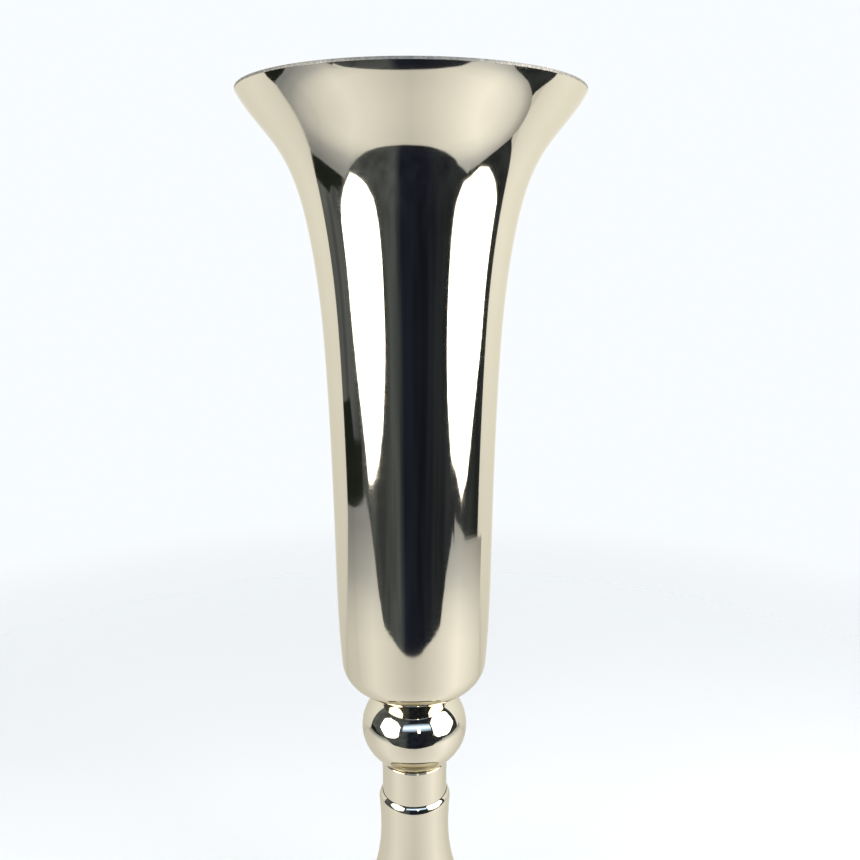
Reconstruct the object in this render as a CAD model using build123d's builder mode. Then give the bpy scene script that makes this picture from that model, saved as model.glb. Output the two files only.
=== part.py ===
"""Trumpet vase of spun, plated sheet steel that knocks down into a cup, a ball knop and a flared foot.

All sizes are in millimetres. The origin is the centre of the base, on the surface that the vase stands on, with +Z up
along the axis of revolution. A bolt clamped in the bottom of the cup runs down through the ball and the neck ferrule
and screws into a long nut at the top of the stem; a tie rod from the same nut holds a weight up inside the foot.
"""

from build123d import *
from math import asin, atan, cos, degrees, radians, sin, sqrt, tan
import os

# Sheet and running clearances
sheet = 1.0  # wall of every spun shell
spigot_clearance = 0.2  # neck ferrule in the ball and in the stem's socket, on radius
thread_clearance = 0.1  # threads are plain cylinders, this far apart on radius
weld_gap = 0.1  # stem plate inside the socket, on radius
seat_clearance = 0.05  # cup over the ball's seat, in height

# Trumpet cup: radius of the outside at each depth below the rim
cup_height = 303.5
rim_radius = 80.0
rim_edge_height = 1.1  # trimmed edge of the mouth, upright on the outside
rim_edge_width = 0.4  # level top of that edge, before it slopes in to the wall
lip_lean = 28.2  # degrees from vertical at the mouth
flare_depth, flare_radius = 26.0, 61.6
throat_depth, throat_radius = 62.0, 49.1
barrel_depth, barrel_radius = 130.0, 42.3
belly_depth, belly_radius = 216.0, 40.0
heel_radius = 37.7  # where the wall turns into the bottom
heel_lean = 4.7  # degrees from vertical there
heel_round = 15.0
bottom_lean = 33.0  # degrees from level of the coned bottom
bottom_flat_radius = 12.0  # level middle of the bottom
bottom_round = 6.0  # between the cone and the level middle

# Ball knop: a flattened sphere, open at both ends, with a coned seat for the cup
ball_radius = 27.8
ball_half_height = 24.0
ball_seat_radius = 18.2  # outer edge of the seat
ball_foot_hole_radius = 13.5

# Neck ferrule between the ball and the stem
neck_radius = 17.3
neck_wall = 1.5
neck_length = 19.3  # the length that shows
neck_insert = 8.0  # the length inside the stem
neck_spigot_height = 4.0  # the length inside the ball

# Flared foot
foot_height = 122.0  # table to the top of the stem
foot_radius = 72.0
foot_edge_radius = 9.0  # the flare rolls over this round into the skirt
skirt_height = 3.0
hem_width = 5.0  # sheet turned in under the skirt
waist_drop = 20.8  # top of the stem to its narrowest place
shoulder_swell = 0.7  # widest place under the stem's top, over the waist, on radius
shoulder_round = 6.0
stem_plate_thickness = 3.0
pad_thickness = 2.0  # ring pad under the hem
pad_inset = 0.5  # pad edge to hem edge

# Cast weight inside the foot
weight_thickness = 6.0
weight_side_gap = 2.0  # to the hem's opening, on radius
weight_shell_gap = 0.3  # rim of the weight to the inside of the flare
weight_hub_radius = 16.0
weight_hub_rise = 6.0
weight_recess_radius = 11.0  # pocket under the hub for the base nut
weight_recess_depth = 8.0

# Screws, nuts and washers
bolt_radius = 3.0
thread_engagement = 12.0
end_chamfer = 0.6
hex_flats = 10.0
hex_chamfer = 0.5
bolt_head_height = 4.0
nut_height = 5.0
coupling_nut_length = 30.0
rod_gap = 2.0  # tie rod to bolt, inside the coupling nut
rod_tail = 2.0  # tie rod past the base nut
hole_clearance = 0.4  # bolt in a plain hole, on radius
seal_radius, seal_thickness = 11.0, 2.0
bolt_washer_radius, bolt_washer_thickness = 9.0, 1.6
backing_washer_radius, backing_washer_thickness = 6.2, 1.2
base_washer_radius, base_washer_thickness = 9.0, 1.6
spring_washer_radius, spring_washer_thickness = 5.6, 1.6
spring_washer_slot = 1.5


def ellipse_height(half_width, half_height, radius):
    """Height of an ellipse above its centre at a radius."""
    return half_height * sqrt(1 - (radius / half_width) ** 2)


# Radii that follow from the fits
hole_radius = bolt_radius + hole_clearance
thread_hole_radius = bolt_radius + thread_clearance
spigot_radius = ball_foot_hole_radius - spigot_clearance
socket_radius = neck_radius + spigot_clearance
waist_radius = socket_radius + sheet
shoulder_radius = waist_radius + shoulder_swell
hem_radius = foot_radius - sheet - hem_width

# The cup's bottom: the heel turns into a cone, and the cone through a smaller round into the level middle
cone_slope = tan(radians(bottom_lean))
cone_radius = heel_radius - heel_round * (cos(radians(heel_lean)) - sin(radians(bottom_lean)))
cone_foot_radius = bottom_flat_radius + bottom_round * sin(radians(bottom_lean))
cone_foot_rise = bottom_round * (1 - cos(radians(bottom_lean)))
cone_rise = cone_foot_rise + (cone_radius - cone_foot_radius) * cone_slope
seat_rise = cone_foot_rise + (ball_seat_radius - cone_foot_radius) * cone_slope

# Heights, from the table up
hem_z = pad_thickness
waist_z = foot_height - waist_drop
neck_foot_z = foot_height - neck_insert
stem_plate_z = neck_foot_z - stem_plate_thickness
ball_inner_radius = ball_radius - sheet
ball_inner_half_height = ball_half_height - sheet
ball_foot_z = foot_height + neck_length
ball_z = ball_foot_z + ellipse_height(ball_inner_radius, ball_inner_half_height, ball_foot_hole_radius)
seat_z = ball_z + ellipse_height(ball_radius, ball_half_height, ball_seat_radius)
cup_base_z = seat_z + seat_clearance - seat_rise
cup_floor_z = cup_base_z + sheet * (1 - sin(radians(heel_lean)))
heel_z = cup_base_z + cone_rise + heel_round * (cos(radians(bottom_lean)) - sin(radians(heel_lean)))
rim_z = cup_base_z + cup_height
bolt_washer_z = cup_floor_z + seal_thickness
bolt_head_z = bolt_washer_z + bolt_washer_thickness
bolt_end_z = stem_plate_z - thread_engagement
backing_washer_z = cup_base_z - backing_washer_thickness
rod_top_z = bolt_end_z - rod_gap

# The stem's top is an arc that rolls in from the shoulder to the socket
shoulder_inset = shoulder_round - (shoulder_radius - socket_radius)
shoulder_rise = sqrt(shoulder_round**2 - shoulder_inset**2)
shoulder_angle = degrees(asin(shoulder_rise / shoulder_round))
shoulder_z = foot_height - shoulder_rise

# The foot's side is two arcs that meet on a tangent: the hollow flare and the round edge
flare_run = foot_radius - waist_radius
flare_drop = waist_z - hem_z - skirt_height
flare_angle = 2 * degrees(atan(flare_run / flare_drop))
foot_flare_radius = flare_drop / sin(radians(flare_angle)) - foot_edge_radius
flare_centre_x = waist_radius + foot_flare_radius

# The weight hangs just under the inside of the flare, and the base nut in its pocket
weight_radius = hem_radius - weight_side_gap
weight_reach = flare_centre_x - weight_radius
weight_top_z = waist_z - sqrt((foot_flare_radius + sheet) ** 2 - weight_reach**2) - weight_shell_gap
weight_z = weight_top_z - weight_thickness
base_washer_z = weight_z + weight_recess_depth - base_washer_thickness
spring_washer_z = base_washer_z - spring_washer_thickness
base_nut_z = spring_washer_z - nut_height
rod_end_z = base_nut_z - rod_tail


def cup_wall(inset):
    """The cup's side from under the trimmed edge to the level bottom, in section, set in by the sheet."""
    wall = Spline(
        (rim_radius - inset, rim_z - rim_edge_height),
        (flare_radius - inset, rim_z - flare_depth),
        (throat_radius - inset, rim_z - throat_depth),
        (barrel_radius - inset, rim_z - barrel_depth),
        (belly_radius - inset, rim_z - belly_depth),
        (heel_radius - inset, heel_z),
        tangents=[
            (-sin(radians(lip_lean)), -cos(radians(lip_lean))),
            (-sin(radians(heel_lean)), -cos(radians(heel_lean))),
        ],
        tangent_scalars=[1, 1],
    )
    heel = JernArc(wall @ 1, wall % 1, heel_round - inset, heel_lean + bottom_lean - 90)
    cone = PolarLine(heel @ 1, (cone_radius - cone_foot_radius) / cos(radians(bottom_lean)), direction=heel % 1)
    bottom = JernArc(cone @ 1, cone % 1, bottom_round - inset, -bottom_lean)
    return wall, bottom


def foot_wall(inset):
    """The foot's flare and edge from the waist to the skirt, in section, set in along the normal."""
    flare = CenterArc((flare_centre_x, waist_z), foot_flare_radius + inset, 180, flare_angle)
    edge = JernArc(flare @ 1, flare % 1, foot_edge_radius - inset, -flare_angle)
    return flare, edge


def washer(radius, bore, z, thickness):
    """Flat ring on the axis, standing on a height."""
    with BuildSketch(Plane.XY.offset(z)) as ring:
        Circle(radius)
        Circle(bore, mode=Mode.SUBTRACT)
    extrude(ring.sketch, amount=thickness)


def hex_block(z, height):
    """Hexagon on the axis, standing on a height, with its upper edges broken."""
    with BuildSketch(Plane.XY.offset(z)) as hexagon:
        RegularPolygon(hex_flats / 2, 6, major_radius=False)
    extrude(hexagon.sketch, amount=height)
    chamfer(edges().group_by(Axis.Z)[-1], hex_chamfer)


def axis_hole(radius, z, depth):
    """Round hole on the axis, from a height upwards."""
    with BuildSketch(Plane.XY.offset(z)) as disc:
        Circle(radius)
    extrude(disc.sketch, amount=depth, mode=Mode.SUBTRACT)


# Cup: spun shell with a trimmed mouth, and a hole for the bolt in the middle of its coned bottom
with BuildPart() as trumpet_cup:
    with BuildSketch(Plane.XZ):
        with BuildLine():
            outside, outside_bottom = cup_wall(0)
            inside, inside_bottom = cup_wall(sheet)
            Polyline(
                outside @ 0,
                (rim_radius, rim_z),
                (rim_radius - rim_edge_width, rim_z),
                inside @ 0,
            )
            Polyline(
                outside_bottom @ 1,
                (hole_radius, cup_base_z),
                (hole_radius, cup_floor_z),
                inside_bottom @ 1,
            )
        make_face()
    revolve(axis=Axis.Z)

# Bolt through the bottom of the cup, head inside
with BuildPart() as cup_bolt:
    hex_block(bolt_head_z, bolt_head_height)
    with BuildSketch(Plane.XY.offset(bolt_end_z)):
        Circle(bolt_radius)
    extrude(amount=bolt_head_z - bolt_end_z)
    chamfer(edges().group_by(Axis.Z)[0], end_chamfer)

with BuildPart() as bolt_washer:
    washer(bolt_washer_radius, hole_radius, bolt_washer_z, bolt_washer_thickness)

with BuildPart() as seal_washer:
    washer(seal_radius, hole_radius, cup_floor_z, seal_thickness)

# Washer and nut that hold the bolt to the cup, inside the top of the ball
with BuildPart() as backing_washer:
    washer(backing_washer_radius, hole_radius, backing_washer_z, backing_washer_thickness)

with BuildPart() as lock_nut:
    hex_block(backing_washer_z - nut_height, nut_height)
    axis_hole(thread_hole_radius, backing_washer_z - nut_height, nut_height)

# Ball: flattened hollow sphere, cut off level at the neck and coned at the cup
with BuildPart() as ball_knop:
    with BuildSketch(Plane.XZ):
        with Locations((0, ball_z)):
            Ellipse(ball_radius, ball_half_height)
            Ellipse(ball_inner_radius, ball_inner_half_height, mode=Mode.SUBTRACT)
        with BuildLine():
            Polyline(
                (0, ball_foot_z),
                (ball_radius, ball_foot_z),
                (ball_radius, seat_z + (ball_radius - ball_seat_radius) * cone_slope),
                (0, seat_z - ball_seat_radius * cone_slope),
                close=True,
            )
        make_face(mode=Mode.INTERSECT)
    revolve(axis=Axis.Z)

# Ferrule: the short neck, with a spigot up into the ball and a plain end down in the stem
with BuildPart() as neck_ferrule:
    with BuildSketch(Plane.XZ):
        with BuildLine():
            Polyline(
                (neck_radius, neck_foot_z),
                (neck_radius, ball_foot_z),
                (spigot_radius, ball_foot_z),
                (spigot_radius, ball_foot_z + neck_spigot_height),
                (spigot_radius - neck_wall, ball_foot_z + neck_spigot_height),
                (spigot_radius - neck_wall, ball_foot_z - neck_wall),
                (neck_radius - neck_wall, ball_foot_z - neck_wall),
                (neck_radius - neck_wall, neck_foot_z),
                close=True,
            )
        make_face()
    revolve(axis=Axis.Z)

# Foot: spun shell from the rolled top of the stem to the turned-in hem
with BuildPart() as flared_foot:
    with BuildSketch(Plane.XZ):
        with BuildLine():
            outside_flare, outside_edge = foot_wall(0)
            inside_flare, inside_edge = foot_wall(sheet)
            TangentArc((waist_radius, waist_z), (shoulder_radius, shoulder_z), tangent=(0, 1))
            CenterArc((shoulder_radius - shoulder_round, shoulder_z), shoulder_round, 0, shoulder_angle)
            Line((socket_radius, foot_height), (socket_radius, waist_z))
            Polyline(
                outside_edge @ 1,
                (foot_radius, hem_z),
                (hem_radius, hem_z),
                (hem_radius, hem_z + sheet),
                (foot_radius - sheet, hem_z + sheet),
                inside_edge @ 1,
            )
        make_face()
    revolve(axis=Axis.Z)

# Plate welded across the stem's socket, and the long nut welded under it
with BuildPart() as stem_plate:
    washer(socket_radius - weld_gap, hole_radius, stem_plate_z, stem_plate_thickness)

with BuildPart() as coupling_nut:
    hex_block(stem_plate_z - coupling_nut_length, coupling_nut_length)
    axis_hole(thread_hole_radius, stem_plate_z - coupling_nut_length, coupling_nut_length)

# Rod from the coupling nut down through the weight
with BuildPart() as tie_rod:
    with BuildSketch(Plane.XY.offset(rod_end_z)):
        Circle(bolt_radius)
    extrude(amount=rod_top_z - rod_end_z)
    chamfer(edges().filter_by(GeomType.CIRCLE), end_chamfer)

# Weight: cast disc with a hub over a pocket for the base nut, drawn up inside the flare
with BuildPart() as base_weight:
    washer(weight_radius, hole_radius, weight_z, weight_thickness)
    washer(weight_hub_radius, hole_radius, weight_top_z, weight_hub_rise)
    axis_hole(weight_recess_radius, weight_z, weight_recess_depth)

with BuildPart() as base_washer:
    washer(base_washer_radius, hole_radius, base_washer_z, base_washer_thickness)

with BuildPart() as spring_washer:
    washer(spring_washer_radius, hole_radius, spring_washer_z, spring_washer_thickness)
    with BuildSketch(Plane.XY.offset(spring_washer_z)):
        Rectangle(spring_washer_radius, spring_washer_slot, align=(Align.MIN, Align.CENTER))
    extrude(amount=spring_washer_thickness, mode=Mode.SUBTRACT)

with BuildPart() as base_nut:
    hex_block(base_nut_z, nut_height)
    axis_hole(thread_hole_radius, base_nut_z, nut_height)

# Ring pad glued under the hem
with BuildPart() as pad_ring:
    washer(foot_radius - pad_inset, hem_radius + pad_inset, 0, pad_thickness)

pieces = {
    "trumpet_cup": trumpet_cup,
    "cup_bolt": cup_bolt,
    "bolt_washer": bolt_washer,
    "seal_washer": seal_washer,
    "backing_washer": backing_washer,
    "lock_nut": lock_nut,
    "ball_knop": ball_knop,
    "neck_ferrule": neck_ferrule,
    "flared_foot": flared_foot,
    "stem_plate": stem_plate,
    "coupling_nut": coupling_nut,
    "tie_rod": tie_rod,
    "base_weight": base_weight,
    "base_washer": base_washer,
    "spring_washer": spring_washer,
    "base_nut": base_nut,
    "pad_ring": pad_ring,
}
os.makedirs("parts", exist_ok=True)
for name, piece in pieces.items():
    piece.part.label = name
    export_step(piece.part, f"parts/{name}.step")

print(f"rim at {rim_z:.2f}, cup base at {cup_base_z:.2f}, ball centre at {ball_z:.2f}, bolt head at {bolt_head_z:.2f}")
print(f"foot flare radius {foot_flare_radius:.1f} over {flare_angle:.1f} degrees, rod end at {rod_end_z:.2f}")
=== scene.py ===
"""Looks of the trumpet vase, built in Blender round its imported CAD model.

Sizes are in millimetres and become metres where a mesh is made. A mirror finish shows every flat of a
mesh, so the turned pieces are made again here, finer than the CAD model and from the same sizes, with
their edges broken, and the screws get their threads. Sizes of the stage are in metres.
"""

from math import asin, atan, cos, degrees, pi, radians, sin, sqrt, tan

import bmesh
import bpy
import numpy as np
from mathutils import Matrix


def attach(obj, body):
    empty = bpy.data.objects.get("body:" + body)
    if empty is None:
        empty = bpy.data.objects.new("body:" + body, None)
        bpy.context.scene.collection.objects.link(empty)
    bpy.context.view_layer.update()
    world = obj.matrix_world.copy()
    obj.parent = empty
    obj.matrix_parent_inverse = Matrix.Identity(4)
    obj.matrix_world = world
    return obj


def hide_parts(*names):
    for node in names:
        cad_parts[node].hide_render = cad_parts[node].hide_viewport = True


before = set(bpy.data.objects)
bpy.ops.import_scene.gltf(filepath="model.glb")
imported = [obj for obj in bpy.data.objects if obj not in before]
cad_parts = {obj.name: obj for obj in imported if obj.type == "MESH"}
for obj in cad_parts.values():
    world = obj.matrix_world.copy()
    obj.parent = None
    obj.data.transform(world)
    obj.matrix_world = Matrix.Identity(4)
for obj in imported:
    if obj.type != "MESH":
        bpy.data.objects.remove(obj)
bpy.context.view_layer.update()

MM = 0.001

# Sizes of the CAD source
sheet = 1.0
spigot_clearance = 0.2
thread_clearance = 0.1
weld_gap = 0.1
seat_clearance = 0.05
cup_height = 303.5
rim_radius = 80.0
rim_edge_height = 1.1
rim_edge_width = 0.4
lip_lean = 28.2
flare_depth, flare_radius = 26.0, 61.6
throat_depth, throat_radius = 62.0, 49.1
barrel_depth, barrel_radius = 130.0, 42.3
belly_depth, belly_radius = 216.0, 40.0
heel_radius = 37.7
heel_lean = 4.7
heel_round = 15.0
bottom_lean = 33.0
bottom_flat_radius = 12.0
bottom_round = 6.0
ball_radius = 27.8
ball_half_height = 24.0
ball_seat_radius = 18.2
ball_foot_hole_radius = 13.5
neck_radius = 17.3
neck_wall = 1.5
neck_length = 19.3
neck_insert = 8.0
neck_spigot_height = 4.0
foot_height = 122.0
foot_radius = 72.0
foot_edge_radius = 9.0
skirt_height = 3.0
hem_width = 5.0
waist_drop = 20.8
shoulder_swell = 0.7
shoulder_round = 6.0
stem_plate_thickness = 3.0
pad_thickness = 2.0
pad_inset = 0.5
weight_thickness = 6.0
weight_side_gap = 2.0
weight_shell_gap = 0.3
weight_hub_radius = 16.0
weight_hub_rise = 6.0
weight_recess_radius = 11.0
weight_recess_depth = 8.0
bolt_radius = 3.0
thread_engagement = 12.0
hex_flats = 10.0
bolt_head_height = 4.0
nut_height = 5.0
coupling_nut_length = 30.0
rod_gap = 2.0
rod_tail = 2.0
hole_clearance = 0.4
seal_radius, seal_thickness = 11.0, 2.0
bolt_washer_radius, bolt_washer_thickness = 9.0, 1.6
backing_washer_radius, backing_washer_thickness = 6.2, 1.2
base_washer_radius, base_washer_thickness = 9.0, 1.6
spring_washer_radius, spring_washer_thickness = 5.6, 1.6
spring_washer_slot = 1.5

# Sizes that only the looks have
thread_pitch = 1.0
thread_depth = 0.55
sheet_round = 0.35  # broken edge of cut sheet
rim_edge_round = 0.15  # outer corner of the trimmed mouth
neck_round = 0.7  # turned edge at the top of the neck
hem_round = 1.3  # outside of the fold at the bottom of the skirt
casting_round = 1.5
washer_round = 0.3
rubber_round = 0.5
pocket_round = 0.5  # corner of the pocket under the weight
hexagon_face = 0.96  # share of a hexagon's flats that its round end face spans
nut_cone = 30.0  # degrees of the cone that breaks a hexagon's corners
thread_end = 1.0  # coned length at each end of a thread
rod_tip_drop = 0.3  # how much smaller the rod's tip is than its thread's root
bolt_tip_drop = 0.6  # how much smaller the bolt's tip is than its neck
washer_slant = 6.0  # degrees that the spring washer's cut leans over
section_gap = 0.01  # keeps two points of a section apart
edge_blend = 0.1  # height in which the plating gives way to the cut edge
small_segments = 96  # flats round a washer
screw_segments = 48  # flats round a nut, the bolt or the rod
casting_segments = 128


def ellipse_height(half_width, half_height, radius):
    """Height of an ellipse above its centre at a radius."""
    return half_height * sqrt(1 - (radius / half_width) ** 2)


# Radii and heights that follow, as in the CAD source
hole_radius = bolt_radius + hole_clearance
thread_hole_radius = bolt_radius + thread_clearance
spigot_radius = ball_foot_hole_radius - spigot_clearance
socket_radius = neck_radius + spigot_clearance
waist_radius = socket_radius + sheet
shoulder_radius = waist_radius + shoulder_swell
hem_radius = foot_radius - sheet - hem_width
cone_slope = tan(radians(bottom_lean))
cone_radius = heel_radius - heel_round * (cos(radians(heel_lean)) - sin(radians(bottom_lean)))
cone_foot_radius = bottom_flat_radius + bottom_round * sin(radians(bottom_lean))
cone_foot_rise = bottom_round * (1 - cos(radians(bottom_lean)))
cone_rise = cone_foot_rise + (cone_radius - cone_foot_radius) * cone_slope
seat_rise = cone_foot_rise + (ball_seat_radius - cone_foot_radius) * cone_slope
hem_z = pad_thickness
waist_z = foot_height - waist_drop
neck_foot_z = foot_height - neck_insert
stem_plate_z = neck_foot_z - stem_plate_thickness
ball_inner_radius = ball_radius - sheet
ball_inner_half_height = ball_half_height - sheet
ball_foot_z = foot_height + neck_length
ball_z = ball_foot_z + ellipse_height(ball_inner_radius, ball_inner_half_height, ball_foot_hole_radius)
seat_z = ball_z + ellipse_height(ball_radius, ball_half_height, ball_seat_radius)
cup_base_z = seat_z + seat_clearance - seat_rise
cup_floor_z = cup_base_z + sheet * (1 - sin(radians(heel_lean)))
heel_z = cup_base_z + cone_rise + heel_round * (cos(radians(bottom_lean)) - sin(radians(heel_lean)))
rim_z = cup_base_z + cup_height
bolt_washer_z = cup_floor_z + seal_thickness
bolt_head_z = bolt_washer_z + bolt_washer_thickness
bolt_end_z = stem_plate_z - thread_engagement
backing_washer_z = cup_base_z - backing_washer_thickness
rod_top_z = bolt_end_z - rod_gap
shoulder_inset = shoulder_round - (shoulder_radius - socket_radius)
shoulder_rise = sqrt(shoulder_round**2 - shoulder_inset**2)
shoulder_angle = degrees(asin(shoulder_rise / shoulder_round))
shoulder_z = foot_height - shoulder_rise
flare_run = foot_radius - waist_radius
flare_drop = waist_z - hem_z - skirt_height
flare_angle = 2 * degrees(atan(flare_run / flare_drop))
foot_flare_radius = flare_drop / sin(radians(flare_angle)) - foot_edge_radius
flare_centre_x = waist_radius + foot_flare_radius
weight_radius = hem_radius - weight_side_gap
weight_reach = flare_centre_x - weight_radius
weight_top_z = waist_z - sqrt((foot_flare_radius + sheet) ** 2 - weight_reach**2) - weight_shell_gap
weight_z = weight_top_z - weight_thickness
base_washer_z = weight_z + weight_recess_depth - base_washer_thickness
spring_washer_z = base_washer_z - spring_washer_thickness
base_nut_z = spring_washer_z - nut_height
rod_end_z = base_nut_z - rod_tail


# Lines in section: lists of (radius, height)
def arc(centre, radius, start, end, steps):
    """Points on an arc from one angle to another, in degrees."""
    angles = [radians(start + (end - start) * i / steps) for i in range(steps + 1)]
    return [(centre[0] + radius * cos(a), centre[1] + radius * sin(a)) for a in angles]


def ellipse_arc(centre, half_width, half_height, z_from, z_to, steps):
    """Points on the outer half of an ellipse between two heights."""
    start = asin((z_from - centre) / half_height)
    end = asin((z_to - centre) / half_height)
    angles = [start + (end - start) * i / steps for i in range(steps + 1)]
    return [(half_width * cos(a), centre + half_height * sin(a)) for a in angles]


def clamped_spline(points, start_lean, end_lean, steps):
    """Points on the cubic spline through some points, with its lean in from straight down at both ends."""
    p = np.array(points, float)
    h = np.linalg.norm(np.diff(p, axis=0), axis=1)
    knots = np.concatenate([[0.0], np.cumsum(h)])
    count = len(p)
    rows = np.eye(count)
    right = np.zeros((count, 2))
    for i, lean in ((0, start_lean), (count - 1, end_lean)):
        right[i] = (-sin(radians(lean)), -cos(radians(lean)))
    for i in range(1, count - 1):
        rows[i, i - 1:i + 2] = (h[i], 2 * (h[i - 1] + h[i]), h[i - 1])
        slope_in = (p[i] - p[i - 1]) / h[i - 1]
        slope_out = (p[i + 1] - p[i]) / h[i]
        right[i] = 3 * (h[i] * slope_in + h[i - 1] * slope_out)
    slopes = np.linalg.solve(rows, right)
    line = []
    for t in np.linspace(0, knots[-1], steps + 1):
        i = min(int(np.searchsorted(knots, t, side="right")) - 1, count - 2)
        u = (t - knots[i]) / h[i]
        line.append(
            (2 * u**3 - 3 * u**2 + 1) * p[i]
            + (u**3 - 2 * u**2 + u) * h[i] * slopes[i]
            + (3 * u**2 - 2 * u**3) * p[i + 1]
            + (u**3 - u**2) * h[i] * slopes[i + 1]
        )
    return [(float(r), float(z)) for r, z in line]


def even(start, end, steps):
    """Points on a straight line, without its first."""
    return [
        (start[0] + (end[0] - start[0]) * i / steps, start[1] + (end[1] - start[1]) * i / steps)
        for i in range(1, steps + 1)
    ]


def ring(inner, outer, z, height, edge):
    """Section of a flat ring with rounded edges."""
    top = z + height
    return (
        arc((outer - edge, z + edge), edge, -90, 0, 4)
        + arc((outer - edge, top - edge), edge, 0, 90, 4)
        + arc((inner + edge, top - edge), edge, 90, 180, 4)
        + arc((inner + edge, z + edge), edge, 180, 270, 4)
    )


# Meshes
def mesh_piece(name, vertices, faces, body, node, slot, sharp=35):
    """Object with smooth faces and sharp creases that rides on a body in the place of a CAD node."""
    mesh = bpy.data.meshes.new(name)
    mesh.from_pydata([(x * MM, y * MM, z * MM) for x, y, z in vertices], [], faces)
    shape = bmesh.new()
    shape.from_mesh(mesh)
    bmesh.ops.recalc_face_normals(shape, faces=shape.faces)
    shape.to_mesh(mesh)
    shape.free()
    mesh.polygons.foreach_set("use_smooth", [True] * len(mesh.polygons))
    mesh.set_sharp_from_angle(angle=radians(sharp))
    mesh.materials.append(materials[slot])
    piece = bpy.data.objects.new(name, mesh)
    bpy.context.scene.collection.objects.link(piece)
    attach(piece, body)
    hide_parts(node)
    return piece


def turned(name, section, body, node, slot, segments=192, sharp=35):
    """Solid of revolution from a closed line in section that keeps off the axis."""
    count = len(section)
    vertices = []
    faces = []
    for i in range(segments):
        a = 2 * pi * i / segments
        vertices += [(r * cos(a), r * sin(a), z) for r, z in section]
        this = i * count
        next_one = (i + 1) % segments * count
        for k in range(count):
            m = (k + 1) % count
            faces.append((this + k, next_one + k, next_one + m, this + m))
    return mesh_piece(name, vertices, faces, body, node, slot, sharp)


def shaped(name, section_at, body, node, slot, segments, closed):
    """Solid whose section changes with the angle. An open section starts and ends on the axis."""
    columns = [section_at(2 * pi * i / segments) for i in range(segments)]
    count = len(columns[0])
    vertices = []
    faces = []
    for i, column in enumerate(columns):
        a = 2 * pi * i / segments
        vertices += [(r * cos(a), r * sin(a), z) for r, z in column]
    poles = len(vertices)
    if not closed:
        vertices += [(0, 0, columns[0][0][1]), (0, 0, columns[0][-1][1])]
    for i in range(segments):
        this = i * count
        next_one = (i + 1) % segments * count
        for k in range(count if closed else count - 1):
            m = (k + 1) % count
            faces.append((this + k, next_one + k, next_one + m, this + m))
        if not closed:
            faces.append((poles, next_one, this))
            faces.append((poles + 1, this + count - 1, next_one + count - 1))
    return mesh_piece(name, vertices, faces, body, node, slot)


def hexagon_radius(a):
    """Distance from the axis to a hexagon's side at an angle, with a corner at angle 0."""
    off_flat = (degrees(a) % 60) - 30
    return hex_flats / 2 / cos(radians(off_flat))


def thread_radius(a, z, crest, depth):
    """Radius of a right-handed thread at an angle and a height."""
    phase = 2 * pi * z / thread_pitch - a
    return crest - depth / 2 + depth / 2 * cos(phase)


def thread_line(a, z_from, z_to, crest, depth):
    """Points down or up a thread, eight to a turn."""
    steps = int(abs(z_to - z_from) / thread_pitch * 8)
    heights = [z_from + (z_to - z_from) * i / steps for i in range(steps + 1)]
    return [(thread_radius(a, z, crest, depth), z) for z in heights]


def cone_drop(a, inside):
    """How far the cone on a hexagon's end has dropped at its side."""
    return (hexagon_radius(a) - inside) * tan(radians(nut_cone))


def nut(name, z, height, body, node):
    """Hexagon nut with coned ends and a threaded hole."""
    cone_start = hex_flats / 2 * hexagon_face
    mouth = thread_hole_radius + thread_depth
    top = z + height

    def section(a):
        side = hexagon_radius(a)
        drop = cone_drop(a, cone_start)
        outside = [(cone_start, z), (side, z + drop), (side, top - drop), (cone_start, top), (mouth, top)]
        hole = thread_line(a, top - thread_depth, z + thread_depth, mouth, thread_depth)
        return outside + hole + [(mouth, z)]

    return shaped(name, section, body, node, "zinc_steel", screw_segments, True)


def hexagon_bolt(name, head_z, end_z, body, node):
    """Bolt with a coned head and a threaded shank."""
    cone_start = hex_flats / 2 * hexagon_face
    top = head_z + bolt_head_height
    neck = bolt_radius - thread_depth / 2

    def section(a):
        side = hexagon_radius(a)
        drop = cone_drop(a, cone_start)
        head = [(cone_start / 2, top), (cone_start, top), (side, top - drop), (side, head_z), (neck, head_z)]
        shank = thread_line(a, head_z - thread_end, end_z + thread_end, bolt_radius, thread_depth)
        return head + shank + [(neck - bolt_tip_drop, end_z)]

    return shaped(name, section, body, node, "zinc_steel", screw_segments, False)


def threaded_rod(name, top_z, end_z, body, node):
    """Rod with a thread from end to end and coned ends."""
    tip = bolt_radius - thread_depth - rod_tip_drop

    def section(a):
        thread = thread_line(a, top_z - thread_end, end_z + thread_end, bolt_radius, thread_depth)
        return [(tip, top_z)] + thread + [(tip, end_z)]

    return shaped(name, section, body, node, "zinc_steel", screw_segments, False)


# Materials
def new_material(name):
    """Material with a Principled shader, its node tree's nodes and links."""
    material = bpy.data.materials.new(name)
    material.use_nodes = True
    nodes = material.node_tree.nodes
    return material, nodes, material.node_tree.links, nodes["Principled BSDF"]


def noise(nodes, links, vector, scale, detail, roughness=0.5):
    """Noise texture at a vector socket."""
    node = nodes.new("ShaderNodeTexNoise")
    node.inputs["Scale"].default_value = scale
    node.inputs["Detail"].default_value = detail
    node.inputs["Roughness"].default_value = roughness
    links.new(vector, node.inputs["Vector"])
    return node.outputs["Fac"]


def ramp(nodes, links, factor, stops):
    """Colour ramp over a factor socket, from (place, colour) stops."""
    node = nodes.new("ShaderNodeValToRGB")
    elements = node.color_ramp.elements
    while len(elements) < len(stops):
        elements.new(1.0)
    for element, (place, colour) in zip(elements, stops):
        element.position = place
        element.color = (*colour, 1.0)
    links.new(factor, node.inputs["Fac"])
    return node.outputs["Color"]


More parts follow.
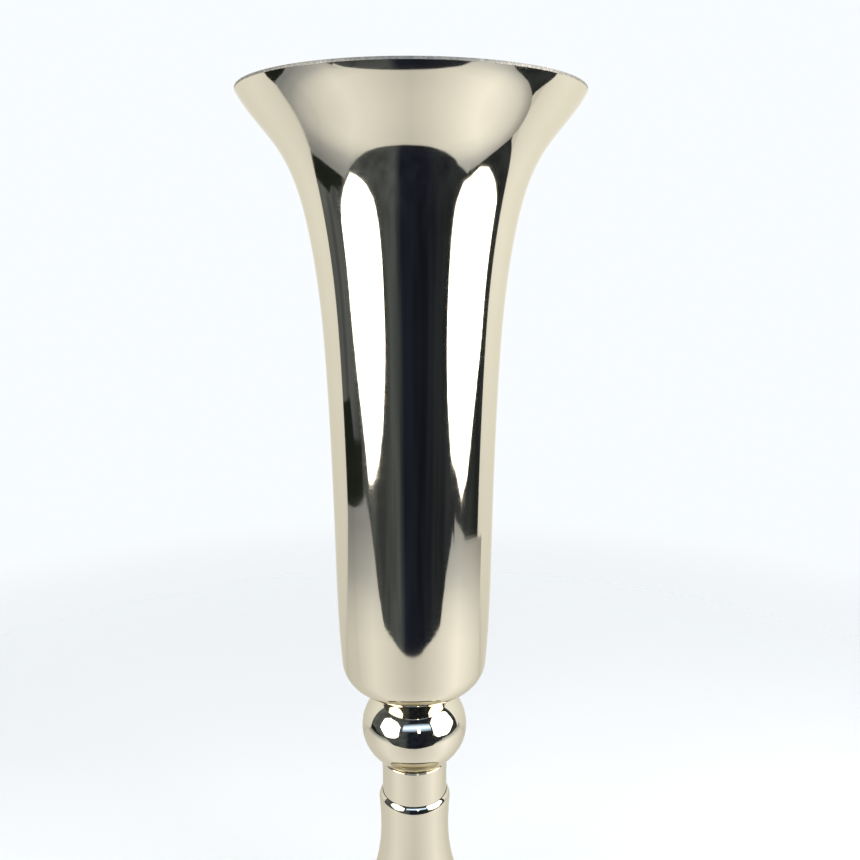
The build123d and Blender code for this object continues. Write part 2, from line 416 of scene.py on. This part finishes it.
def span(nodes, links, value, low, high, out_low, out_high):
    """Value socket taken from one range to another."""
    node = nodes.new("ShaderNodeMapRange")
    for socket, number in zip(node.inputs[1:5], (low, high, out_low, out_high)):
        socket.default_value = number
    links.new(value, node.inputs["Value"])
    return node.outputs["Result"]


def times(nodes, links, first, second):
    """Product of two value sockets."""
    node = nodes.new("ShaderNodeMath")
    node.operation = "MULTIPLY"
    links.new(first, node.inputs[0])
    links.new(second, node.inputs[1])
    return node.outputs["Value"]


def stretched(nodes, links, vector, scale):
    """Vector socket scaled along its axes."""
    node = nodes.new("ShaderNodeVectorMath")
    node.operation = "MULTIPLY"
    node.inputs[1].default_value = scale
    links.new(vector, node.inputs[0])
    return node.outputs["Vector"]


def bump(nodes, links, height, distance, under=None):
    """Normal socket of a height in metres, on top of another normal."""
    node = nodes.new("ShaderNodeBump")
    node.inputs["Distance"].default_value = distance
    links.new(height, node.inputs["Height"])
    if under is not None:
        links.new(under, node.inputs["Normal"])
    return node.outputs["Normal"]


def turned_coordinates(nodes, links):
    """Object coordinates, and a vector that changes fast up and out from the axis but slowly round it."""
    place = nodes.new("ShaderNodeTexCoord").outputs["Object"]
    flat = stretched(nodes, links, place, (1, 1, 0))
    radius = nodes.new("ShaderNodeVectorMath")
    radius.operation = "LENGTH"
    links.new(flat, radius.inputs[0])
    split = nodes.new("ShaderNodeSeparateXYZ")
    links.new(place, split.inputs["Vector"])
    along = nodes.new("ShaderNodeMath")
    along.operation = "ADD"
    links.new(radius.outputs["Value"], along.inputs[0])
    links.new(split.outputs["Z"], along.inputs[1])
    rings = nodes.new("ShaderNodeCombineXYZ")
    links.new(split.outputs["X"], rings.inputs["X"])
    links.new(split.outputs["Y"], rings.inputs["Y"])
    links.new(along.outputs["Value"], rings.inputs["Z"])
    return place, rings.outputs["Vector"]


def champagne_plate():
    """Mirror plating on spun sheet: spinning rings, clouds in the tint, a little haze and a cut edge."""
    material, nodes, links, shader = new_material("champagne_plate")
    place, rings = turned_coordinates(nodes, links)
    split = nodes.new("ShaderNodeSeparateXYZ")
    links.new(place, split.inputs["Vector"])
    edge_z = (rim_z - rim_edge_height) * MM
    edge = span(nodes, links, split.outputs["Z"], edge_z - edge_blend * MM, edge_z, 0, 1)
    clouds = noise(nodes, links, place, 14, 3)
    tint = ramp(nodes, links, clouds, [(0.3, (0.705, 0.65, 0.515)), (0.7, (0.735, 0.68, 0.545))])
    specks = noise(nodes, links, place, 900, 3, 0.6)
    cut = ramp(nodes, links, specks, [(0.3, (0.25, 0.238, 0.21)), (0.7, (0.48, 0.455, 0.405))])
    mix = nodes.new("ShaderNodeMix")
    mix.data_type = "RGBA"
    links.new(edge, mix.inputs["Factor"])
    links.new(tint, mix.inputs["A"])
    links.new(cut, mix.inputs["B"])
    links.new(mix.outputs["Result"], shader.inputs["Base Color"])
    lines = noise(nodes, links, stretched(nodes, links, rings, (4, 4, 900)), 1, 4, 0.6)
    haze = noise(nodes, links, place, 30, 5, 0.6)
    polish = span(nodes, links, times(nodes, links, lines, haze), 0.15, 0.4, 0.035, 0.085)
    dull = nodes.new("ShaderNodeMath")
    dull.operation = "MULTIPLY_ADD"
    links.new(edge, dull.inputs[0])
    dull.inputs[1].default_value = 0.5
    links.new(polish, dull.inputs[2])
    links.new(dull.outputs["Value"], shader.inputs["Roughness"])
    waves = noise(nodes, links, stretched(nodes, links, rings, (10, 10, 110)), 1, 1)
    wavy = bump(nodes, links, waves, 0.000016)
    links.new(bump(nodes, links, lines, 0.0000006, wavy), shader.inputs["Normal"])
    shader.inputs["Specular Tint"].default_value = (0.82, 0.80, 0.73, 1.0)
    shader.inputs["Metallic"].default_value = 1.0
    return material


def zinc_steel():
    """Bright zinc on turned steel: bluish and straw patches, fine turning lines and a dull bloom."""
    material, nodes, links, shader = new_material("zinc_steel")
    place, rings = turned_coordinates(nodes, links)
    bloom = noise(nodes, links, place, 160, 5, 0.6)
    links.new(
        ramp(
            nodes,
            links,
            bloom,
            [(0.3, (0.50, 0.53, 0.58)), (0.5, (0.60, 0.61, 0.62)), (0.72, (0.62, 0.59, 0.52))],
        ),
        shader.inputs["Base Color"],
    )
    lines = noise(nodes, links, stretched(nodes, links, rings, (40, 40, 4000)), 1, 3)
    links.new(span(nodes, links, bloom, 0.3, 0.7, 0.22, 0.42), shader.inputs["Roughness"])
    links.new(bump(nodes, links, lines, 0.000012), shader.inputs["Normal"])
    shader.inputs["Metallic"].default_value = 1.0
    return material


def cast_weight():
    """Black paint on sand-cast iron: grains, shallow pits and worn, greyer high places."""
    material, nodes, links, shader = new_material("cast_weight")
    place = nodes.new("ShaderNodeTexCoord").outputs["Object"]
    grains = noise(nodes, links, place, 1400, 4, 0.65)
    pits = noise(nodes, links, place, 160, 3)
    links.new(
        ramp(nodes, links, grains, [(0.35, (0.008, 0.008, 0.009)), (0.75, (0.035, 0.034, 0.033))]),
        shader.inputs["Base Color"],
    )
    links.new(span(nodes, links, grains, 0.3, 0.7, 0.5, 0.8), shader.inputs["Roughness"])
    pitted = bump(nodes, links, pits, 0.0009)
    links.new(bump(nodes, links, grains, 0.00025, pitted), shader.inputs["Normal"])
    return material


def black_rubber():
    """Moulded rubber: a fine grain and a dusty bloom."""
    material, nodes, links, shader = new_material("black_rubber")
    place = nodes.new("ShaderNodeTexCoord").outputs["Object"]
    dust = noise(nodes, links, place, 90, 4, 0.6)
    grain = noise(nodes, links, place, 2600, 2)
    links.new(
        ramp(nodes, links, dust, [(0.35, (0.012, 0.012, 0.012)), (0.75, (0.034, 0.033, 0.031))]),
        shader.inputs["Base Color"],
    )
    links.new(span(nodes, links, dust, 0.3, 0.7, 0.55, 0.82), shader.inputs["Roughness"])
    links.new(bump(nodes, links, grain, 0.00012), shader.inputs["Normal"])
    return material


materials = {make.__name__: make() for make in (champagne_plate, zinc_steel, cast_weight, black_rubber)}


# Cup
def cup_wall(inset, steps):
    """The cup's side from under the trimmed edge to the level bottom, set in by the sheet."""
    points = [
        (rim_radius - inset, rim_z - rim_edge_height),
        (flare_radius - inset, rim_z - flare_depth),
        (throat_radius - inset, rim_z - throat_depth),
        (barrel_radius - inset, rim_z - barrel_depth),
        (belly_radius - inset, rim_z - belly_depth),
        (heel_radius - inset, heel_z),
    ]
    heel = heel_round - inset
    corner = bottom_round - inset
    level = cup_floor_z if inset else cup_base_z
    heel_centre = (
        heel_radius - inset - heel * cos(radians(heel_lean)),
        heel_z + heel * sin(radians(heel_lean)),
    )
    wall = clamped_spline(points, lip_lean, heel_lean, steps)
    turn = arc(heel_centre, heel, -heel_lean, bottom_lean - 90, 24)
    bottom = arc((bottom_flat_radius, level + corner), corner, bottom_lean - 90, -90, 8)
    return wall + turn[1:] + even(turn[-1], bottom[0], 8) + bottom[1:]


def cup_shell():
    """Spun cup with its trimmed mouth, rounded heel and coned bottom."""
    outside = cup_wall(0, 160)
    inside = cup_wall(sheet, 120)
    edge = rim_edge_round
    rim = [
        (rim_radius - sheet + 0.5 * (sheet - rim_edge_width), rim_z - 0.5 * rim_edge_height),
        (rim_radius - rim_edge_width, rim_z),
        *arc((rim_radius - edge, rim_z - edge), edge, 90, 0, 4),
    ]
    bottom = even(outside[-1], (hole_radius + sheet_round, cup_base_z), 4)
    floor = even((hole_radius + sheet_round, cup_floor_z), inside[-1], 4)
    section = (
        rim
        + outside
        + bottom
        + [(hole_radius, cup_base_z + sheet_round), (hole_radius, cup_floor_z - sheet_round)]
        + [(hole_radius + sheet_round, cup_floor_z)]
        + floor[:-1]
        + inside[::-1]
    )
    turned("cup_shell", section, "cup", "trumpet_cup", "champagne_plate", sharp=20)


cup_shell()
hexagon_bolt("bolt", bolt_head_z, bolt_end_z, "cup", "cup_bolt")
turned(
    "washer_under_head",
    ring(hole_radius, bolt_washer_radius, bolt_washer_z, bolt_washer_thickness, washer_round),
    "cup",
    "bolt_washer",
    "zinc_steel",
    small_segments,
)
turned(
    "rubber_seal",
    ring(hole_radius, seal_radius, cup_floor_z, seal_thickness, rubber_round),
    "cup",
    "seal_washer",
    "black_rubber",
    small_segments,
)
turned(
    "washer_under_cup",
    ring(hole_radius, backing_washer_radius, backing_washer_z, backing_washer_thickness, washer_round),
    "cup",
    "backing_washer",
    "zinc_steel",
    small_segments,
)
nut("nut_under_cup", backing_washer_z - nut_height, nut_height, "cup", "lock_nut")


# Knop
def seat_edge(half_width, half_height):
    """Height where an ellipse about the ball's centre meets the cone of the seat."""
    drop = seat_z - ball_z - ball_seat_radius * cone_slope
    a = 1 / half_width**2 + (cone_slope / half_height) ** 2
    b = 2 * drop * cone_slope / half_height**2
    c = (drop / half_height) ** 2 - 1
    radius = (-b + sqrt(b * b - 4 * a * c)) / (2 * a)
    return ball_z + drop + radius * cone_slope


def ball_shell():
    """Flattened hollow ball, cut off level at the neck and coned at the cup."""
    seat_inner_z = seat_edge(ball_inner_radius, ball_inner_half_height)
    outside = ellipse_arc(ball_z, ball_radius, ball_half_height, seat_z, ball_foot_z, 72)
    inside = ellipse_arc(ball_z, ball_inner_radius, ball_inner_half_height, ball_foot_z, seat_inner_z, 48)
    turned("ball", outside + inside, "knop", "ball_knop", "champagne_plate")


def neck_shell():
    """Short neck with a spigot up into the ball."""
    top = ball_foot_z
    section = (
        [(neck_radius, neck_foot_z)]
        + even((neck_radius, neck_foot_z), (neck_radius, top - neck_round), 20)[:-1]
        + arc((neck_radius - neck_round, top - neck_round), neck_round, 0, 90, 8)
        + [
            (spigot_radius, top),
            (spigot_radius, top + neck_spigot_height),
            (spigot_radius - neck_wall, top + neck_spigot_height),
            (spigot_radius - neck_wall, top - neck_wall),
            (neck_radius - neck_wall, top - neck_wall),
            (neck_radius - neck_wall, neck_foot_z),
        ]
    )
    turned("neck", section, "knop", "neck_ferrule", "champagne_plate")


ball_shell()
neck_shell()


# Foot
def foot_shell():
    """Spun stem and foot from the rolled top to the turned-in hem."""
    def wall(inset, steps):
        flare = arc((flare_centre_x, waist_z), foot_flare_radius + inset, 180, 180 + flare_angle, steps)
        edge_centre = (foot_radius - foot_edge_radius, hem_z + skirt_height)
        edge = arc(edge_centre, foot_edge_radius - inset, flare_angle, 0, 16)
        return flare + edge[1:]

    swell = shoulder_radius - waist_radius
    rise = shoulder_z - waist_z
    swell_radius = (swell**2 + rise**2) / (2 * swell)
    swell_angle = degrees(asin(rise / swell_radius))
    swelling = arc((waist_radius + swell_radius, waist_z), swell_radius, 180 - swell_angle, 180, 16)
    shoulder = arc((shoulder_radius - shoulder_round, shoulder_z), shoulder_round, shoulder_angle, 0, 16)
    fold = arc((foot_radius - hem_round, hem_z + hem_round), hem_round, 0, -90, 6)
    section = (
        shoulder
        + swelling[:-1]
        + wall(0, 96)
        + fold
        + [(hem_radius, hem_z), (hem_radius, hem_z + sheet), (foot_radius - sheet, hem_z + sheet)]
        + wall(sheet, 64)[::-1]
        + [(socket_radius, waist_z + section_gap)]
    )
    turned("foot_shell", section, "foot", "flared_foot", "champagne_plate")


def casting():
    """Weight with rounded edges, a hub and a pocket underneath."""
    rim = weight_radius
    hub_z = weight_top_z + weight_hub_rise
    pocket_z = weight_z + weight_recess_depth
    edge = casting_round
    section = (
        arc((rim - edge, weight_z + edge), edge, -90, 0, 6)
        + arc((rim - edge, weight_top_z - edge), edge, 0, 90, 6)
        + arc((weight_hub_radius + edge, weight_top_z + edge), edge, 270, 180, 6)
        + arc((weight_hub_radius - edge, hub_z - edge), edge, 0, 90, 6)
        + [(hole_radius, hub_z), (hole_radius, pocket_z)]
        + [(weight_recess_radius - pocket_round, pocket_z), (weight_recess_radius, pocket_z - pocket_round)]
        + arc((weight_recess_radius + edge, weight_z + edge), edge, 180, 270, 6)
    )
    turned("casting", section, "foot", "base_weight", "cast_weight", casting_segments)


def split_washer():
    """Spring washer with a slanting cut."""
    steps = 72
    slot = degrees(spring_washer_slot / spring_washer_radius)
    section = ring(hole_radius, spring_washer_radius, spring_washer_z, spring_washer_thickness, washer_round)
    count = len(section)
    vertices = []
    faces = []
    for i in range(steps + 1):
        for r, z in section:
            slant = washer_slant * ((z - spring_washer_z) / spring_washer_thickness - 0.5)
            a = radians(slot / 2 + washer_slant / 2 + slant + (360 - slot - washer_slant) * i / steps)
            vertices.append((r * cos(a), r * sin(a), z))
    for i in range(steps):
        for k in range(count):
            m = (k + 1) % count
            faces.append((i * count + k, (i + 1) * count + k, (i + 1) * count + m, i * count + m))
    faces.append(tuple(range(count)))
    faces.append(tuple(range(steps * count, (steps + 1) * count)))
    mesh_piece("split_washer", vertices, faces, "foot", "spring_washer", "zinc_steel")


foot_shell()
turned(
    "welded_plate",
    ring(hole_radius, socket_radius - weld_gap, stem_plate_z, stem_plate_thickness, washer_round),
    "foot",
    "stem_plate",
    "zinc_steel",
    small_segments,
)
nut("long_nut", stem_plate_z - coupling_nut_length, coupling_nut_length, "foot", "coupling_nut")
threaded_rod("rod", rod_top_z, rod_end_z, "foot", "tie_rod")
casting()
turned(
    "washer_under_weight",
    ring(hole_radius, base_washer_radius, base_washer_z, base_washer_thickness, washer_round),
    "foot",
    "base_washer",
    "zinc_steel",
    small_segments,
)
split_washer()
nut("nut_under_weight", base_nut_z, nut_height, "foot", "base_nut")
turned(
    "ring_pad",
    ring(hem_radius + pad_inset, foot_radius - pad_inset, 0, pad_thickness, rubber_round),
    "foot",
    "pad_ring",
    "black_rubber",
)


# Stage, in metres: the camera sees a pale floor in pale light. Mirrors see a white table, a white wall and
# two soft boxes in a dark room, as cards that the camera doesn't see.
floor_half = 2.0
floor_z = -0.0003
floor_fade = (0.15, 0.9)
table_z = -0.0006
near_start, near_end = 0.05, 0.34  # distances between which the even light by the vase gives way to bands
near_share, near_grey = 0.6, 0.97
edge_top, edge_light = 0.08, 0.5  # height up the table's edges and the share of light left there
table_round = [
    (0.0, 0.84), (0.083, 1.04), (0.14, 0.94), (0.20, 0.80), (0.25, 0.71), (0.30, 0.81),
    (0.36, 0.99), (0.417, 1.20), (0.44, 1.26), (0.50, 1.10), (0.60, 0.85), (0.90, 0.80),
]
table_far = [
    (0.43, (1.0, 1.0, 1.0)),
    (0.52, (0.875, 0.885, 0.90)),
    (0.58, (0.745, 0.76, 0.785)),
    (0.66, (0.53, 0.55, 0.59)),
    (0.82, (0.35, 0.37, 0.405)),
]
shelf_z = -0.10
shelf_scale = 0.83  # share of its distance at which the shelf takes the table's light
wall_y = 0.202
wall_gap, wall_top = 0.06, 1.1
wall_light_z = 0.35  # height where a wall has its full light
wall_foot_z, wall_foot_light = 0.05, 0.85  # shade at the foot of a wall
camera_place = (0.0084, -0.4197, 0.4102)
camera_tilt = 78.08  # degrees up from straight down
camera_lens = 36.0  # millimetres, as wide as the sensor


def glow(name):
    """Material with an emission shader and nothing else, its nodes, links and the shader."""
    material = bpy.data.materials.new(name)
    material.use_nodes = True
    nodes = material.node_tree.nodes
    links = material.node_tree.links
    nodes.remove(nodes["Principled BSDF"])
    light = nodes.new("ShaderNodeEmission")
    links.new(light.outputs["Emission"], nodes["Material Output"].inputs["Surface"])
    return material, nodes, links, light


def emitter(name, colour, strength, fade=None):
    """Material that gives light from its front only. A fade is the height of its middle and of its half."""
    material, nodes, links, light = glow(name)
    light.inputs["Color"].default_value = (*colour, 1.0)
    facing = nodes.new("ShaderNodeNewGeometry").outputs["Backfacing"]
    level = span(nodes, links, facing, 0.0, 1.0, strength, 0.0)
    if fade:
        split = nodes.new("ShaderNodeSeparateXYZ")
        links.new(nodes.new("ShaderNodeTexCoord").outputs["Object"], split.inputs["Vector"])
        below = span(nodes, links, split.outputs["Z"], fade[0] - fade[1], fade[0], 0.0, 1.0)
        above = span(nodes, links, split.outputs["Z"], fade[0], fade[0] + fade[1], 1.0, 0.0)
        for part in (below, above):
            level = times(nodes, links, level, part)
    links.new(level, light.inputs["Strength"])
    return material


def round_about(nodes, links, vector):
    """Turn about the axis as 0 to 1, with 0.25 towards the camera and more to its right."""
    node = nodes.new("ShaderNodeTexGradient")
    node.gradient_type = "RADIAL"
    links.new(vector, node.inputs["Vector"])
    return node.outputs["Fac"]


def greys(stops):
    """Ramp stops of plain greys."""
    return [(place, (shade, shade, shade)) for place, shade in stops]


def lit_table(name, scale):
    """White table lit from two sides: bright towards each, dimmer between, far out and up its edges."""
    material, nodes, links, light = glow(name)
    place = nodes.new("ShaderNodeTexCoord").outputs["Object"]
    bands = ramp(nodes, links, round_about(nodes, links, place), greys(table_round))
    length = nodes.new("ShaderNodeVectorMath")
    length.operation = "LENGTH"
    links.new(stretched(nodes, links, place, (scale, scale, scale)), length.inputs[0])
    distance = length.outputs["Value"]
    mix = nodes.new("ShaderNodeMix")
    mix.data_type = "RGBA"
    links.new(span(nodes, links, distance, near_start, near_end, near_share, 0.0), mix.inputs["Factor"])
    links.new(bands, mix.inputs["A"])
    mix.inputs["B"].default_value = (near_grey, near_grey, near_grey, 1.0)
    dimmed = nodes.new("ShaderNodeVectorMath")
    dimmed.operation = "MULTIPLY"
    links.new(mix.outputs["Result"], dimmed.inputs[0])
    links.new(ramp(nodes, links, distance, table_far), dimmed.inputs[1])
    links.new(dimmed.outputs["Vector"], light.inputs["Color"])
    split = nodes.new("ShaderNodeSeparateXYZ")
    links.new(place, split.inputs["Vector"])
    up_edge = span(nodes, links, split.outputs["Z"], 0.0, edge_top, 1.0, edge_light)
    links.new(up_edge, light.inputs["Strength"])
    return material


def lit_wall(name, low, high):
    """White wall that gets lighter from the table up."""
    material, nodes, links, light = glow(name)
    split = nodes.new("ShaderNodeSeparateXYZ")
    links.new(nodes.new("ShaderNodeTexCoord").outputs["Object"], split.inputs["Vector"])
    rise = span(nodes, links, split.outputs["Z"], 0.0, wall_light_z, low, high)
    shade = span(nodes, links, split.outputs["Z"], 0.0, wall_foot_z, wall_foot_light, 1.0)
    links.new(times(nodes, links, rise, shade), light.inputs["Strength"])
    light.inputs["Color"].default_value = (0.99, 1.0, 1.0, 1.0)
    return material


def card(name, corners, material, lights=False):
    """Flat card in metres that only mirrors see, and that may give light to the rest."""
    mesh = bpy.data.meshes.new(name)
    mesh.from_pydata(corners, [], [tuple(range(len(corners)))])
    mesh.materials.append(material)
    piece = bpy.data.objects.new(name, mesh)
    bpy.context.scene.collection.objects.link(piece)
    piece.visible_camera = False
    piece.visible_diffuse = lights
    piece.visible_shadow = False
    return piece


def upright_card(name, azimuth, distance, outline, material, lights=False):
    """Card that faces the axis. Azimuth 0 is towards the camera, positive to its right."""
    a = radians(azimuth)
    corners = [
        (distance * sin(a) + s * cos(a), -distance * cos(a) + s * sin(a), z)
        for s, z in outline[::-1]
    ]
    return card(name, corners, material, lights)


def floor_material():
    """Pale matte floor that fades out into the background."""
    material, nodes, links, shader = new_material("floor")
    shader.inputs["Base Color"].default_value = (0.86, 0.885, 0.905, 1.0)
    shader.inputs["Roughness"].default_value = 0.8
    shader.inputs["Specular IOR Level"].default_value = 0.1
    place = nodes.new("ShaderNodeTexCoord").outputs["Object"]
    distance = nodes.new("ShaderNodeVectorMath")
    distance.operation = "LENGTH"
    links.new(place, distance.inputs[0])
    fade = nodes.new("ShaderNodeMapRange")
    fade.interpolation_type = "SMOOTHSTEP"
    for socket, number in zip(fade.inputs[1:5], (*floor_fade, 1.0, 0.0)):
        socket.default_value = number
    links.new(distance.outputs["Value"], fade.inputs["Value"])
    links.new(fade.outputs["Result"], shader.inputs["Alpha"])
    return material


floor_corners = [(-floor_half, -floor_half, 0), (floor_half, -floor_half, 0)]
floor_corners += [(floor_half, floor_half, 0), (-floor_half, floor_half, 0)]
floor_mesh = bpy.data.meshes.new("floor")
floor_mesh.from_pydata(floor_corners, [], [(0, 1, 2, 3)])
floor_mesh.materials.append(floor_material())
floor_object = bpy.data.objects.new("floor", floor_mesh)
floor_object.location.z = floor_z
floor_object.visible_glossy = False
floor_object.visible_shadow = False
bpy.context.scene.collection.objects.link(floor_object)

# Table in plan: where its edge turns up, each point has the height too
table_corner = [
    (-0.871, -0.347, 0.0),
    (-0.72, -0.342, 0.034),
    (-0.55, -0.315, 0.07),
    (-0.45, -0.325, 0.06),
    (-0.363, -0.371, 0.0),
]
table_front = [
    (-0.321, -0.363), (-0.231, -0.388), (-0.08, -0.388), (0.08, -0.391), (0.122, -0.398),
    (0.214, -0.394), (0.302, -0.379), (0.386, -0.417), (0.479, -0.446), (0.66, -0.43),
]
table_side = [
    (0.575, -0.34, 0.062),
    (0.61, -0.24, 0.055),
    (0.62, -0.13, 0.050),
    (0.60, -0.03, 0.063),
    (0.57, 0.04, 0.075),
    (0.547, 0.105, 0.081),
    (0.49, wall_y, 0.092),
]
table_left = [(-0.90, wall_y), (-0.895, -0.11)]
table_edge = (
    [line[:2] for line in table_corner]
    + table_front
    + [line[:2] for line in table_side[1:]]
    + table_left
)
white_top = lit_table("lit_table", 1.0)
card("table_card", [(x, y, table_z) for x, y in table_edge], white_top)
for name, line in (("table_corner", table_corner), ("table_side", table_side)):
    for start, end in zip(line, line[1:]):
        card(name, [(*start[:2], table_z), (*end[:2], table_z), end, start], white_top)

shelf = [
    (-0.58, -0.442), (-0.44, -0.448), (-0.294, -0.462), (-0.136, -0.481), (0.018, -0.489), (0.168, -0.485),
    (0.33, -0.49), (0.49, -0.507), (0.64, -0.515), (0.64, -0.30), (-0.58, -0.30),
]
card("shelf", [(x, y, shelf_z) for x, y in shelf], lit_table("lit_shelf", shelf_scale))

wall_left = [(-0.85, -0.03), (-wall_gap, -0.03), (-wall_gap, wall_top), (-0.82, wall_top)]
wall_right = [(wall_gap, -0.12), (0.86, -0.12), (0.76, 0.22), (0.75, wall_top), (wall_gap, wall_top)]
for name, outline, low, high in (
    ("wall_left", wall_left, 0.84, 1.03),
    ("wall_right", wall_right, 0.90, 1.14),
):
    card(name, [(x, wall_y, z) for x, z in outline], lit_wall(name, low, high))

upright_card(
    "dark_cabinet",
    azimuth=-96,
    distance=1.0,
    outline=[(-0.3, -0.2), (0.45, -0.2), (0.45, 0.03), (0.2, 0.06), (0.12, 0.12), (-0.3, 0.12)],
    material=emitter("dark_cabinet", (0.8, 1.0, 0.85), 0.018),
)
upright_card(
    "box_left",
    azimuth=-55,
    distance=0.6,
    outline=[
        (-0.25, 0.258), (-0.10, 0.158), (-0.06, 0.122), (0.0, 0.122), (0.10, 0.138), (0.18, 0.168),
        (0.25, 0.228), (0.25, 0.52), (0.10, 0.62), (-0.12, 0.62), (-0.25, 0.52),
    ],
    material=emitter("box_left_light", (1.0, 1.0, 1.0), 4.2),
    lights=True,
)
upright_card(
    "box_right",
    azimuth=60,
    distance=0.6,
    outline=[
        (-0.185, 0.24), (-0.15, 0.195), (-0.08, 0.145), (0.0, 0.134), (0.10, 0.104), (0.20, 0.119),
        (0.30, 0.174), (0.43, 0.24), (0.43, 0.62), (0.25, 0.75), (-0.05, 0.75), (-0.185, 0.62),
    ],
    material=emitter("box_right_light", (1.0, 1.0, 1.0), 4.2),
    lights=True,
)
upright_card(
    "window",
    azimuth=6,
    distance=1.2,
    outline=[(-0.75, 0.62), (0.80, 0.62), (0.80, 1.24), (-0.75, 1.24)],
    material=emitter("window_light", (0.53, 0.70, 1.0), 2.8, fade=(0.93, 0.30)),
)
upright_card(
    "lamp",
    azimuth=11.5,
    distance=1.15,
    outline=[(-0.05, 0.54), (0.05, 0.54), (0.05, 0.80), (-0.05, 0.80)],
    material=emitter("lamp_light", (1.0, 1.0, 1.0), 9.0),
)
card(
    "overhead",
    [(-0.5, 0.3, 1.5), (0.5, 0.3, 1.5), (0.5, -0.7, 1.5), (-0.5, -0.7, 1.5)],
    emitter("overhead_light", (1.0, 1.0, 1.0), 1.5),
    lights=True,
)


def room():
    """World: pale to the camera, even fill to matte surfaces, and a dark room to mirrors."""
    world = bpy.data.worlds.new("room")
    bpy.context.scene.world = world
    world.use_nodes = True
    nodes = world.node_tree.nodes
    links = world.node_tree.links
    background = nodes["Background"]
    direction = nodes.new("ShaderNodeTexCoord").outputs["Generated"]
    dark = ramp(
        nodes,
        links,
        round_about(nodes, links, direction),
        [
            (0.0, (0.118, 0.132, 0.147)),
            (0.05, (0.077, 0.088, 0.10)),
            (0.15, (0.080, 0.090, 0.10)),
            (0.20, (0.080, 0.092, 0.105)),
            (0.22, (0.014, 0.018, 0.032)),
            (0.29, (0.014, 0.017, 0.031)),
            (0.34, (0.022, 0.026, 0.034)),
            (0.52, (0.034, 0.040, 0.046)),
            (0.75, (0.05, 0.05, 0.05)),
            (0.97, (0.118, 0.132, 0.147)),
        ],
    )
    things = span(nodes, links, noise(nodes, links, direction, 5, 2), 0.3, 0.7, 0.6, 1.4)
    scale = nodes.new("ShaderNodeVectorMath")
    scale.operation = "SCALE"
    links.new(dark, scale.inputs[0])
    links.new(things, scale.inputs["Scale"])
    dark = scale.outputs["Vector"]
    rays = nodes.new("ShaderNodeLightPath")
    for ray, colour in (("Is Diffuse Ray", (0.74, 0.745, 0.75)), ("Is Camera Ray", (0.945, 0.98, 1.0))):
        mix = nodes.new("ShaderNodeMix")
        mix.data_type = "RGBA"
        links.new(rays.outputs[ray], mix.inputs["Factor"])
        links.new(dark, mix.inputs["A"])
        mix.inputs["B"].default_value = (*colour, 1.0)
        dark = mix.outputs["Result"]
    links.new(dark, background.inputs["Color"])


room()
bpy.context.scene.view_settings.view_transform = "Standard"

camera_data = bpy.data.cameras.new("camera")
camera_data.lens = camera_lens
camera_data.sensor_width = camera_lens
camera = bpy.data.objects.new("camera", camera_data)
camera.location = camera_place
camera.rotation_euler = (radians(camera_tilt), 0, 0)
bpy.context.scene.collection.objects.link(camera)
bpy.context.scene.camera = camera
